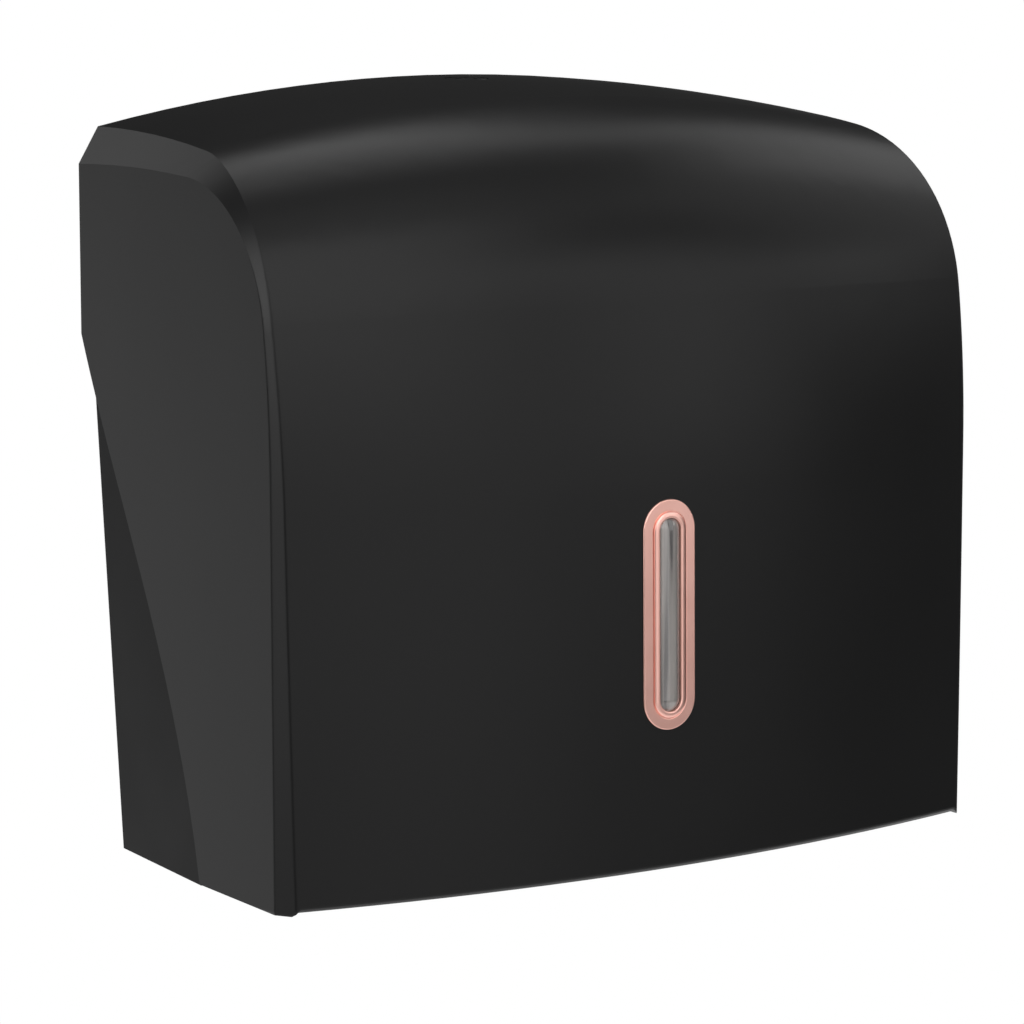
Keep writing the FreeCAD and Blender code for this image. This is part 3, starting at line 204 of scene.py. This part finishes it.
def plated_metal(name, dark, light, rough, grain, grain_strength):
    """Satin plating, with a soft variation in colour and gloss."""
    material, tree, shader = new_material(name)
    shader.inputs["Metallic"].default_value = 1.0
    add_patches(tree, shader, dark, light, METAL_TONE, rough, METAL_GLOSS)
    add_bump(tree, shader, noise(tree, grain, GRAIN_DETAIL), grain_strength, METAL_GRAIN_DEPTH)
    return material


def clear_lens(name):
    """Smoke-clear polished acrylic with faint ripples along its length, and light and dark streaks
    painted into its colour as reflections.
    """
    material, tree, shader = new_material(name)
    # Painted reflections: the base colour runs in light and dark streaks along the lens.
    painted_reflections = noise(tree, LENS_STREAK_SCALE, GRAIN_DETAIL, LENS_REFLECTION_STRETCH)
    tone = spread(tree, painted_reflections, 0.0, 1.0, *LENS_REFLECTION_RANGE)
    tree.links.new(blend_colours(tree, tone, LENS_DARK_REFLECTION, LENS_LIGHT_REFLECTION), shader.inputs["Base Color"])
    shader.inputs["Transmission Weight"].default_value = LENS_TRANSMISSION
    shader.inputs["Roughness"].default_value = LENS_ROUGHNESS
    shader.inputs["IOR"].default_value = LENS_IOR
    shader.inputs["Coat Weight"].default_value = 1.0
    shader.inputs["Coat Roughness"].default_value = LENS_COAT_ROUGHNESS
    ripple = noise(tree, LENS_STREAK_SCALE, GRAIN_DETAIL, LENS_BUMP_STRETCH)
    add_bump(tree, shader, ripple, LENS_BUMP_STRENGTH, LENS_BUMP_DEPTH)
    return material


# One for each slot of the record. rough is a range, and grain is the scale of the grain's noise.
MATERIALS = {
    "cover_plastic": moulded_plastic(
        "cover_plastic", dark=(0.0055, 0.0055, 0.0056), light=(0.0065, 0.0065, 0.0066),
        rough=(0.32, 0.34), specular=0.25, grain=2600.0, grain_depth=0.000006, soft_edges=True),
    "base_plastic": moulded_plastic(
        "base_plastic", dark=(0.0110, 0.0110, 0.0112), light=(0.0140, 0.0140, 0.0142),
        rough=(0.42, 0.48), specular=0.05, grain=1900.0, grain_depth=0.00001),
    "inner_plastic": moulded_plastic(
        "inner_plastic", dark=(0.022, 0.022, 0.023), light=(0.028, 0.028, 0.029),
        rough=(0.45, 0.55), specular=0.5, grain=1700.0, grain_depth=0.00002),
    "rose_gold": plated_metal(
        "rose_gold", dark=(0.95, 0.53, 0.45), light=(1.0, 0.58, 0.50),
        rough=(0.285, 0.315), grain=900.0, grain_strength=0.03),
    "lens": clear_lens("lens"),
    "bush": moulded_plastic(
        "bush", dark=(0.66, 0.65, 0.60), light=(0.74, 0.73, 0.69),
        rough=(0.38, 0.46), specular=0.5, grain=1500.0, grain_depth=0.00001),
    "steel": plated_metal(
        "steel", dark=(0.48, 0.49, 0.50), light=(0.60, 0.61, 0.62),
        rough=(0.29, 0.4), grain=4000.0, grain_strength=0.15),
    "lock_black": plated_metal(
        "lock_black", dark=(0.030, 0.030, 0.031), light=(0.045, 0.045, 0.046),
        rough=(0.3, 0.42), grain=4000.0, grain_strength=0.15),
}


def dress_nodes():
    """Gives every CAD node the material of its slot in the record."""
    for part in frame["record"]["subparts"]:
        mesh = nodes[part["node"]].data
        mesh.materials.clear()
        mesh.materials.append(MATERIALS[part["material_slot"]])


dress_nodes()


# ---------------------------------------------------------------- window
MM = 0.001
WINDOW_LEAN = math.radians(0.75)  # the straight front leans back
SHARP_ANGLE = math.radians(35.0)
ARC_STEPS = 40                # faces round each end of the window
trim_low, trim_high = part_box("window_trim")

# Millimetres, from here to the first function.
TRIM_HALF_WIDTH = (trim_high[0] - trim_low[0]) / 2 / MM
TRIM_HALF_HEIGHT = 38.5
TRIM_THICK = 1.3              # flange of the solid, in front of the hood

# Names with IN count inwards from the trim's outline; those with FACE or BACK count out from the hood.
FLANGE_FACE = 0.55
BEAD_FACE = 1.3
OPENING_IN = 6.20
SEAT_IN = 4.70
SEAT_FACE = -2.8
SLEEVE_IN = 3.35
SLEEVE_BACK = -4.2
# The section across the trim, as pairs of inwards and out.
TRIM_SECTION = [
    (0.0, 0.0), (0.0, 0.15), (0.08, 0.36), (0.22, 0.49), (0.40, FLANGE_FACE), (0.46, FLANGE_FACE),
    (3.50, FLANGE_FACE), (3.56, FLANGE_FACE), (3.70, 0.49), (3.76, 0.30), (4.02, 0.30),
    (4.06, 0.85), (4.16, 1.02), (4.40, 1.14), (4.90, 1.24), (5.45, BEAD_FACE), (5.85, BEAD_FACE),
    (6.08, 1.22), (6.18, 1.05), (OPENING_IN, 0.85), (OPENING_IN, SEAT_FACE), (SEAT_IN, SEAT_FACE),
    (SEAT_IN, SLEEVE_BACK), (SLEEVE_IN, SLEEVE_BACK), (SLEEVE_IN, 0.0),
]
LENS_IN = 6.28
LENS_EDGE_FACE = 0.2
LENS_DOME = 1.05              # rise of the lens's face from its edge to its middle line
LENS_DOME_STEPS = 16
LENS_FLANGE_IN = 4.85
LENS_FLANGE_FACE = -2.65
LENS_MIDDLE_GAP = 0.05        # the innermost ring's distance from the middle line


def window_ring(inset, out):
    """The trim's outline, moved in by inset, out millimetres in front of the hood."""
    radius = TRIM_HALF_WIDTH - inset
    straight = TRIM_HALF_HEIGHT - TRIM_HALF_WIDTH
    ring = []
    for end, centre_z in enumerate((straight, -straight)):
        for step in range(ARC_STEPS + 1):
            turn = math.pi * (end + step / ARC_STEPS)
            ring.append(Vector((radius * math.cos(turn), -out, centre_z + radius * math.sin(turn))) * MM)
    return ring


def window_place():
    """Takes points from the window's own axes, about its middle on the hood's face, to the model's."""
    lean_depth = math.sin(WINDOW_LEAN) * TRIM_HALF_HEIGHT * MM
    face_y = trim_low[1] + lean_depth + math.cos(WINDOW_LEAN) * TRIM_THICK * MM
    centre_z = (trim_low[2] + trim_high[2]) / 2
    return Matrix.Translation((0.0, face_y, centre_z)) @ Matrix.Rotation(-WINDOW_LEAN, 4, "X")


def window_piece(name, section, closed):
    """Sweeps a section round the window: a closed ring, or a solid capped at both ends of the section."""
    place = window_place()
    rings = [window_ring(inset, out) for inset, out in section]
    count = len(rings[0])
    points = [place @ point for ring in rings for point in ring]
    faces = []
    for row in range(len(rings) if closed else len(rings) - 1):
        here = row * count
        there = (row + 1) % len(rings) * count
        for corner in range(count):
            after = (corner + 1) % count
            faces.append((here + corner, here + after, there + after, there + corner))
    if not closed:
        faces += [tuple(range(count)), tuple(range((len(rings) - 1) * count, len(rings) * count))]
    mesh = bpy.data.meshes.new(name)
    mesh.from_pydata(points, [], faces)
    work = bmesh.new()
    work.from_mesh(mesh)
    bmesh.ops.recalc_face_normals(work, faces=work.faces)
    work.to_mesh(mesh)
    work.free()
    for face in mesh.polygons:
        face.use_smooth = True
    mesh.set_sharp_from_angle(angle=SHARP_ANGLE)
    piece = bpy.data.objects.new(name, mesh)
    scene.collection.objects.link(piece)
    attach(piece, "cover")
    return piece


def lens_section():
    """A flanged bar with a round face, from the middle of its face to the middle of its back."""
    half = TRIM_HALF_WIDTH - LENS_IN
    radius = (half ** 2 + LENS_DOME ** 2) / (2 * LENS_DOME)
    middle = TRIM_HALF_WIDTH - LENS_MIDDLE_GAP
    dome = []
    for step in range(LENS_DOME_STEPS + 1):
        across = half * step / LENS_DOME_STEPS
        out = LENS_EDGE_FACE + math.sqrt(radius ** 2 - across ** 2) - (radius - LENS_DOME)
        dome.append((min(TRIM_HALF_WIDTH - across, middle), out))
    return dome + [(LENS_IN, LENS_FLANGE_FACE), (LENS_FLANGE_IN, LENS_FLANGE_FACE),
                   (LENS_FLANGE_IN, SLEEVE_BACK), (middle, SLEEVE_BACK)]


def make_window():
    """The trim with its bead and the lens with its dome, in place of the plainer solids."""
    trim = window_piece("beaded_trim", TRIM_SECTION, closed=True)
    trim.data.materials.append(MATERIALS["rose_gold"])
    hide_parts("window_trim")
    lens = window_piece("domed_lens", lens_section(), closed=False)
    lens.data.materials.append(MATERIALS["lens"])
    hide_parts("window_lens")


make_window()


# ---------------------------------------------------------------- studio
WHITE = (1.0, 1.0, 1.0, 1.0)
WORLD_FILL = 0.042
# The mirrored background is white for rays whose direction is below, beyond and right of these.
# Each pair is the range over which it fades.
WHITE_BELOW_Z = (-0.06, 0.04)
WHITE_BEYOND_Y = (-0.05, 0.25)
WHITE_RIGHT_OF_X = (-0.80, -0.25)

FLOOR_Z = -0.9                # the dispenser hangs on a wall, well above the floor
FLOOR_RADIUS = 2.5
FLOOR_SIDES = 96
FLOOR_COLOUR = (0.80, 0.80, 0.80, 1.0)
FLOOR_ROUGHNESS = 0.9
FLOOR_SPECULAR = 0.1
FLOOR_GLOW = 0.92             # the rest of what the camera sees of the floor is its lit, shaded surface

TARGET = (0.0, -0.075, 0.13)
LAMP_DISTANCE = 2.5
# name, azimuth, elevation, width, height, radiance
SOFT_BOXES = [
    ("front", 183.0, 30.0, 2.1, 2.4, 1.8),
    ("front_low", 172.0, -6.0, 1.5, 0.9, 1.0),
    ("front_high", 180.0, 65.0, 2.4, 1.4, 0.65),
    ("left", 262.0, 35.0, 1.6, 2.0, 1.0),
    ("left_low", 262.0, 0.0, 1.6, 1.2, 1.7),
    ("left_band", 280.0, 14.0, 0.5, 1.2, 4.5),
    ("left_edge", 233.0, 24.0, 0.5, 2.0, 3.0),
    ("left_back", 335.0, 30.0, 1.4, 1.4, 0.85),
    ("right", 105.0, 35.0, 1.6, 1.6, 0.65),
    ("right_front", 144.0, 12.0, 0.8, 1.8, 1.4),
    ("right_mid", 124.0, 14.0, 0.5, 0.7, 1.6),
    ("right_low", 92.0, 4.0, 1.0, 1.0, 0.5),
    ("ridge", 48.0, 57.0, 1.2, 0.4, 1.25),
    ("right_back", 73.0, 38.0, 1.1, 1.0, 1.1),
    ("above", 0.0, 70.0, 2.4, 1.6, 1.05),
]


def background(tree, strength):
    """A white world shader."""
    node = tree.nodes.new("ShaderNodeBackground")
    node.inputs["Color"].default_value = WHITE
    node.inputs["Strength"].default_value = strength
    return node.outputs["Background"]


def background_share(tree):
    """1 for camera rays, and for glossy and transmission rays that run down and towards the wall.

    Those are the directions in which the camera sees the white background, so metal and glass
    mirror it too. Rays that run far to the left are left out.
    """
    path = tree.nodes.new("ShaderNodeLightPath")
    coords = tree.nodes.new("ShaderNodeTexCoord")
    split = tree.nodes.new("ShaderNodeSeparateXYZ")
    tree.links.new(coords.outputs["Generated"], split.inputs["Vector"])
    below = spread(tree, split.outputs["Z"], 1.0, 0.0, *WHITE_BELOW_Z)
    beyond = spread(tree, split.outputs["Y"], 0.0, 1.0, *WHITE_BEYOND_Y)
    right = spread(tree, split.outputs["X"], 0.0, 1.0, *WHITE_RIGHT_OF_X)
    area = mix_values(tree, "MULTIPLY", mix_values(tree, "MULTIPLY", below, beyond), right)
    mirrored = mix_values(tree, "MAXIMUM", path.outputs["Is Glossy Ray"],
                          path.outputs["Is Transmission Ray"])
    mirrored = mix_values(tree, "MULTIPLY", mirrored, area)
    return mix_values(tree, "MAXIMUM", mirrored, path.outputs["Is Camera Ray"])


def make_world():
    """A dim fill light, and full white where background_share says so."""
    world = bpy.data.worlds.new("studio")
    scene.world = world
    world.use_nodes = True
    tree = world.node_tree
    tree.nodes.clear()
    output = tree.nodes.new("ShaderNodeOutputWorld")
    dim = background(tree, WORLD_FILL)
    white = background(tree, 1.0)
    shown = mix_shaders(tree, background_share(tree), dim, white)
    tree.links.new(shown, output.inputs["Surface"])


def floor_material():
    """Pale, and nearly white to the camera and in reflections.

    It is clear from underneath, so that the dispenser's underside can be looked at.
    """
    material, tree, shader = new_material("floor")
    shader.inputs["Base Color"].default_value = FLOOR_COLOUR
    shader.inputs["Roughness"].default_value = FLOOR_ROUGHNESS
    shader.inputs["Specular IOR Level"].default_value = FLOOR_SPECULAR
    path = tree.nodes.new("ShaderNodeLightPath")
    seen = mix_values(tree, "MAXIMUM", path.outputs["Is Camera Ray"], path.outputs["Is Glossy Ray"])
    seen = mix_values(tree, "MAXIMUM", seen, path.outputs["Is Transmission Ray"])
    glow = mix_values(tree, "MULTIPLY", seen, FLOOR_GLOW)
    white = tree.nodes.new("ShaderNodeEmission")
    white.inputs["Strength"].default_value = 1.0
    top = mix_shaders(tree, glow, shader.outputs["BSDF"], white.outputs["Emission"])
    clear = tree.nodes.new("ShaderNodeBsdfTransparent")
    geometry = tree.nodes.new("ShaderNodeNewGeometry")
    one_sided = mix_shaders(tree, geometry.outputs["Backfacing"], top, clear.outputs["BSDF"])
    tree.links.new(one_sided, tree.nodes["Material Output"].inputs["Surface"])
    return material


def make_floor():
    """A plain disc well below the dispenser."""
    turns = [2 * math.pi * side / FLOOR_SIDES for side in range(FLOOR_SIDES)]
    rim = [(FLOOR_RADIUS * math.cos(turn), FLOOR_RADIUS * math.sin(turn), FLOOR_Z) for turn in turns]
    mesh = bpy.data.meshes.new("floor")
    mesh.from_pydata(rim, [], [tuple(range(FLOOR_SIDES))])
    mesh.materials.append(floor_material())
    floor = bpy.data.objects.new("floor", mesh)
    scene.collection.objects.link(floor)


def direction(azimuth, elevation):
    """The unit vector at azimuth, in degrees from +Y towards +X, and elevation above level."""
    turn = math.radians(azimuth)
    rise = math.radians(elevation)
    return Vector((math.sin(turn) * math.cos(rise), math.cos(turn) * math.cos(rise), math.sin(rise)))


def soft_box(name, azimuth, elevation, width, height, radiance):
    """A soft box that faces the dispenser. A radiance of 1 is white."""
    data = bpy.data.lights.new(name, "AREA")
    data.shape = "RECTANGLE"
    data.size = width
    data.size_y = height
    data.energy = radiance * width * height * math.pi
    lamp = bpy.data.objects.new(name, data)
    scene.collection.objects.link(lamp)
    aim = direction(azimuth, elevation)
    lamp.location = Vector(TARGET) + aim * LAMP_DISTANCE
    lamp.rotation_euler = (-aim).to_track_quat("-Z", "Y").to_euler()
    lamp.visible_camera = False


make_world()
make_floor()
for box in SOFT_BOXES:
    soft_box(*box)


# ---------------------------------------------------------------- camera
CAMERA_PLACE = (-0.79347, -1.26502, 0.33074)
CAMERA_YAW = -33.2086         # degrees about Z
CAMERA_PITCH = -8.7536        # degrees from level, downwards
CAMERA_LEVEL = 90.0           # an unturned camera looks straight down
CAMERA_LENS = 148.48          # millimetres, like the sensor's width
CAMERA_SENSOR = 36.0


def make_camera():
    """The camera, at the place worked out from the photograph's outline."""
    data = bpy.data.cameras.new("camera")
    data.lens = CAMERA_LENS
    data.sensor_width = CAMERA_SENSOR
    camera = bpy.data.objects.new("camera", data)
    scene.collection.objects.link(camera)
    camera.location = CAMERA_PLACE
    camera.rotation_euler = (math.radians(CAMERA_LEVEL + CAMERA_PITCH), 0.0, math.radians(CAMERA_YAW))
    scene.camera = camera


make_camera()
scene.view_settings.view_transform = "Standard"
